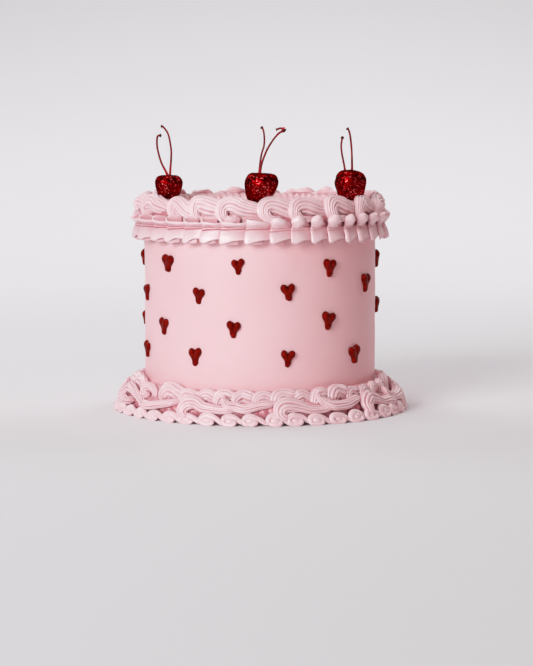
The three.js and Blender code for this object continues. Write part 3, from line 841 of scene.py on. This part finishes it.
piped_set("foot_scrolls", "base_shells", 2, *foot_scrolls())
hoop("foot_line", "base_shells", 83.0, 12.0, 5.8, 9.0, 0.8)

# Garlands
# Nine ropes of icing drape over the scrolls at the foot. Each starts in a curled head, arches over it
# and runs down to the right, and a second strand starts above its end, sags and ends under the next
# head.

GARLANDS = 9
FIRST_GARLAND_ANGLE = 7.3
# The cone: its radius at the base, and how much it narrows for each millimetre of height
SLOPE_RADIUS, SLOPE = 100.0, 0.42
GARLAND_RADIUS = 97.0


def on_slope(points, angle):
    """Points given as (right, height, out) laid on a cone that leans back from the rim of the foot."""
    right, height, out = np.moveaxis(points, -1, 0)
    radius = SLOPE_RADIUS - SLOPE * height + out
    return turned(radius, angle + np.degrees(right / GARLAND_RADIUS), height)


def garlands():
    """Two ropes a garland, on the cone: the arch and then the sag. Those of the one at the far left are
    given one by one: thinner, with the head higher and further left and the sag hanging lower. The one at
    the right ends each strand in a thicker knob."""
    draw = np.random.default_rng(14)
    arch = np.array([
        (8.2, 6.8, 1.6, 0.4, 0.4, 0),
        (7.0, 5.6, 2.4, 1.6, 1.6, 0.1),
        (4.0, 5.2, 3.2, 3.0, 2.8, 0.2),
        (1.4, 7.8, 3.4, 4.6, 3.6, 0.3),
        (1.8, 11.6, 3.2, 5.4, 3.8, 0.4),
        (5.4, 14.0, 2.8, 5.2, 3.7, 0.5),
        (10.4, 13.6, 2.2, 4.5, 3.4, 0.6),
        (16.0, 12.0, 1.8, 3.7, 3.0, 0.7),
        (22.4, 10.7, 1.6, 3.1, 2.8, 0.8),
        (29.4, 10.2, 1.4, 2.8, 2.6, 0.9),
        (36.0, 10.6, 1.0, 2.4, 2.2, 1.0),
        (41.0, 11.0, 0.4, 1.4, 1.3, 1.1),
        (43.6, 11.2, 0.0, 0.4, 0.4, 1.2),
    ])
    sag = np.array([
        (32.0, 19.0, 1.4, 0.4, 0.4, 0),
        (30.4, 18.4, 2.2, 1.8, 1.7, 0.1),
        (30.6, 16.4, 2.8, 2.8, 2.5, 0.2),
        (33.6, 13.8, 3.0, 3.2, 2.8, 0.3),
        (38.6, 12.2, 3.0, 3.3, 2.9, 0.4),
        (44.6, 11.6, 2.8, 3.3, 2.9, 0.5),
        (51.0, 12.0, 2.6, 3.2, 2.8, 0.6),
        (57.0, 13.2, 2.2, 3.0, 2.6, 0.7),
        (63.0, 14.6, 1.2, 2.4, 2.2, 0.8),
        (68.0, 15.2, 0.0, 0.5, 0.5, 0.9),
    ])
    # The far left one: how far each step of its arch and its sag is moved to the right, and its height
    left_arch = [
        (6, 9.6), (2, 9.0), (-5, 8.6), (-11, 9.8), (-12, 13.4), (-12, 16.6), (-12, 17.6),
        (-12, 16.6), (-12, 14.6), (-12, 12.6), (-12, 10.9), (-12, 9.7), (-12, 9.2),
    ]
    left_sag = [
        (-8, 12.0), (-5, 11.0), (-2, 10.0), (-2, 9.1), (-2, 8.6),
        (-2, 9.6), (-2, 11.0), (-2, 12.4), (-4, 13.4), (-5, 13.6),
    ]
    both = []
    for steps, left in ((arch, np.array(left_arch)), (sag, np.array(left_sag))):
        each = steps[None].repeat(GARLANDS, 0)
        each[7, :, 0] += left[:, 0]
        each[7, :, 1] = left[:, 1]
        each[7, :, 3:5] *= 0.84
        each[7, 1, 3:5] = 2.6
        each[1, -4:-1, 2] += 1.2
        each[1, -4:-1, 3:5] += [[1.0, 0.8], [1.8, 1.6], [1.8, 1.4]]
        each[..., :3] += 0.6 * uneven(draw, GARLANDS, len(steps), 3)
        each[..., 3:5] *= 1 + 0.06 * uneven(draw, GARLANDS, 1, 1)
        both.append(curve_through(each, 120))
    angle = FIRST_GARLAND_ANGLE + 360 / GARLANDS * np.arange(GARLANDS) + uneven(draw, GARLANDS)
    return laid(on_slope, rope(np.concatenate(both), 8, 1.25), np.tile(angle, 2))


piped_set("garlands", "base_swags", 2, *garlands())
hoop("garland_line", "base_swags", 89.6, 7.4, 7.0, 6.0, 1.2)

# Beads
# A rim of forty-two small curled beads from a round nozzle finishes the foot, each a ball inside a curl
# whose tail lies under the next.

BEADS = 42
FIRST_BEAD_ANGLE = 5.1
EDGE_RADIUS, EDGE_SLOPE = 100.6, 0.35
BEAD_RADIUS = 101.0


def on_edge(points, angle):
    """Points given as (right, height, out) on a low cone round the foot, never below the base. The rim
    stands out a little further on the right."""
    right, height, out = np.moveaxis(points, -1, 0)
    radius = EDGE_RADIUS - EDGE_SLOPE * height + out + 0.9 * np.clip(np.sin(np.radians(angle)), 0, 1)
    return turned(radius, angle + np.degrees(right / BEAD_RADIUS), np.maximum(height, 0.0))


def beads():
    """Two ropes a bead: the curl, and the short fat one that fills it as a ball. The beads on the left
    of the cake are flatter."""
    draw = np.random.default_rng(16)
    curl = np.array([
        (2.4, 4.2, 2.4, 0.4, 0.4, 0),
        (3.9, 3.7, 2.9, 1.3, 1.3, 0),
        (4.5, 2.5, 3.1, 1.6, 1.6, 0),
        (2.8, 1.4, 3.1, 1.6, 1.6, 0),
        (-0.6, 1.2, 3.0, 1.6, 1.6, 0),
        (-3.4, 2.0, 2.7, 1.8, 1.8, 0),
        (-4.3, 4.2, 2.4, 2.0, 2.0, 0),
        (-2.2, 6.1, 2.1, 2.1, 2.1, 0),
        (1.0, 6.4, 1.9, 2.0, 2.0, 0),
        (4.6, 5.3, 1.7, 1.9, 1.9, 0),
        (7.8, 3.5, 1.6, 1.8, 1.8, 0),
        (10.6, 1.9, 1.5, 1.5, 1.5, 0),
        (12.8, 1.1, 1.0, 0.9, 0.9, 0),
        (14.4, 0.9, 0.4, 0.3, 0.3, 0),
    ])
    each = curl[None].repeat(BEADS, 0)
    each[..., :3] += 0.35 * uneven(draw, BEADS, len(curl), 3)
    each[..., :3] *= 1 + 0.1 * uneven(draw, BEADS, 1, 3)
    even = 360 / BEADS * np.arange(BEADS)
    flat = 1 - 0.16 * np.clip(-2 * np.sin(np.radians(even)) - 0.4, 0, 1)[:, None]
    each[..., 1] *= flat
    ball = np.array([
        (-3.0, 4.0, 1.8, 0.4, 0.4, 0),
        (-2.0, 4.0, 2.0, 1.9, 1.9, 0),
        (0.4, 3.8, 2.2, 2.5, 2.4, 0),
        (2.8, 3.5, 2.0, 2.0, 1.9, 0),
        (4.8, 3.1, 1.4, 0.4, 0.4, 0),
    ])
    filled = ball[None].repeat(BEADS, 0)
    filled[..., :3] += 0.25 * uneven(draw, BEADS, 1, 3)
    filled[..., 3:5] *= 1 + 0.12 * uneven(draw, BEADS, 1, 1)
    filled[..., 1] *= flat
    path = np.concatenate([curve_through(each, 40), curve_through(filled, 40)])
    angle = FIRST_BEAD_ANGLE + even + 0.5 * uneven(draw, BEADS)
    return laid(on_edge, rope(path, 4, 0.22, plain=6), np.tile(angle, 2))


piped_set("beads", "base_beads", 2, *beads())

# Studio
# A plain pale floor that curves up behind. A large soft window lights the cake from the upper left, a
# small lamp in front and a wide one above fill it in, a faint red one warms its right side, and three
# light the floor behind and the backdrop. Lengths in this section are metres.

FLOOR_END = 9.0
BEND_START, BEND_RADIUS = 1.0, 2.4
WALL_TOP = 4.0


def studio():
    """The floor is a profile swept sideways: flat, then a quarter circle, then upright. Its colour holds
    painted light and shade: a little darker towards the viewer and lighter behind the cake."""
    bend = np.radians(np.linspace(0, 90, 46))
    wall = BEND_START + BEND_RADIUS
    depth = np.concatenate([[-FLOOR_END], BEND_START + BEND_RADIUS * np.sin(bend), [wall]])
    height = np.concatenate([[0.0], BEND_RADIUS * (1 - np.cos(bend)), [WALL_TOP]])
    across = np.array([-FLOOR_END, FLOOR_END])
    points = np.stack(np.broadcast_arrays(across[None], depth[:, None], height[:, None]), -1).reshape(-1, 3)
    row = 2 * np.arange(len(depth) - 1)[:, None]
    mesh = bpy.data.meshes.new("floor")
    mesh.from_pydata(points.tolist(), [], (row + [0, 1, 3, 2]).tolist())
    mesh.polygons.foreach_set("use_smooth", np.ones(len(row), bool))
    made = placed("floor", mesh)
    finish = Finish("pale floor", {"Roughness": 0.8, "Specular IOR Level": 0.1})
    # Painted light and shade: the floor is darker in front and lighter behind.
    away = finish.between(finish.node("ShaderNodeSeparateXYZ", {}, {0: finish.place}, 1), -0.75, 0.15)
    shade = finish.blend(away, hex_colour("dbd8da"), hex_colour("eeecef"))
    shade = finish.blend(0.3 * finish.noise(2, 1), shade, hex_colour("e6e4e7"))
    finish.set(finish.shader, {"Base Color": shade})
    mesh.materials.append(finish.material)


def lamp(name, place, aim, size, power, colour):
    """Square soft light of so many watts at a place, turned towards the point that it aims at."""
    light = bpy.data.lights.new(name, "AREA")
    light.size, light.energy, light.color = size, power, colour
    made = placed(name, light)
    made.location = place
    made.rotation_euler = (made.location - type(made.location)(aim)).to_track_quat("Z", "Y").to_euler()


studio()
lamp("window", (-1.36, -2.08, 0.95), (0, 0, 0.08), 1.2, 62, (0.94, 1.0, 1.01))
lamp("front fill", (-0.1, -2.4, 0.45), (0, 0, 0.1), 0.18, 4, (1.0, 1.0, 1.0))
lamp("top", (-0.1, 0.0, 1.7), (0, 0, 0.1), 1.2, 10, (1.0, 1.0, 1.0))
lamp("warm bounce", (1.5, -1.1, 0.5), (0, 0, 0.08), 1.0, 2.7, (1.0, 0.18, 0.1))
lamp("backdrop left", (-1.2, 1.3, 1.3), (-0.3, 0.4, 0.0), 1.0, 11, (1.0, 0.99, 1.0))
lamp("backdrop right", (1.2, 1.3, 1.3), (0.3, 0.4, 0.0), 1.0, 11, (1.0, 0.99, 1.0))
lamp("backdrop middle", (0.1, 1.3, 1.3), (0.05, 2.3, 0.4), 0.9, 7.5, (1.0, 0.99, 1.0))
world = bpy.data.worlds.new("room")
bpy.context.scene.world = world
world.use_nodes = True
glow = world.node_tree.nodes["Background"].inputs
glow["Color"].default_value = (0.85, 0.7, 0.68, 1)
glow["Strength"].default_value = 0.09

# The picture's tones: even in the shade, and rolled off softly where the light is strongest
BRIGHTEST = 1.6
view = bpy.context.scene.view_settings
view.view_transform = "Standard"
view.use_curve_mapping = True
curves = view.curve_mapping
curves.white_level = (BRIGHTEST, BRIGHTEST, BRIGHTEST)
tone = curves.curves[3].points
tone[1].location = (1.0, 1.0)
for light_in, light_out in ((0.2, 0.2), (0.45, 0.44), (0.75, 0.68), (1.15, 0.885)):
    tone.new(light_in / BRIGHTEST, light_out)
curves.update()

# The camera: its place, and the picture in pixels, with the column of the cake's axis and the row of the
# horizon, which it tilts down and shifts sideways to meet
EYE_DISTANCE, EYE_HEIGHT = 1.588, 0.215
PICTURE_WIDTH, PICTURE_HEIGHT = 533, 666
AXIS_COLUMN, HORIZON_ROW = 260, 106
FOCAL_PIXELS = 2221.0
pitch = math.atan((PICTURE_HEIGHT / 2 - HORIZON_ROW) / FOCAL_PIXELS)
camera = bpy.data.cameras.new("camera")
camera.sensor_width = 36
camera.lens = FOCAL_PIXELS / PICTURE_HEIGHT * camera.sensor_width / math.cos(pitch)
camera.shift_x = (PICTURE_WIDTH / 2 - AXIS_COLUMN) / PICTURE_HEIGHT
eye = placed("camera", camera)
eye.location = (0, -EYE_DISTANCE, EYE_HEIGHT)
eye.rotation_euler = (math.pi / 2 - pitch, 0, 0)
bpy.context.scene.camera = eye
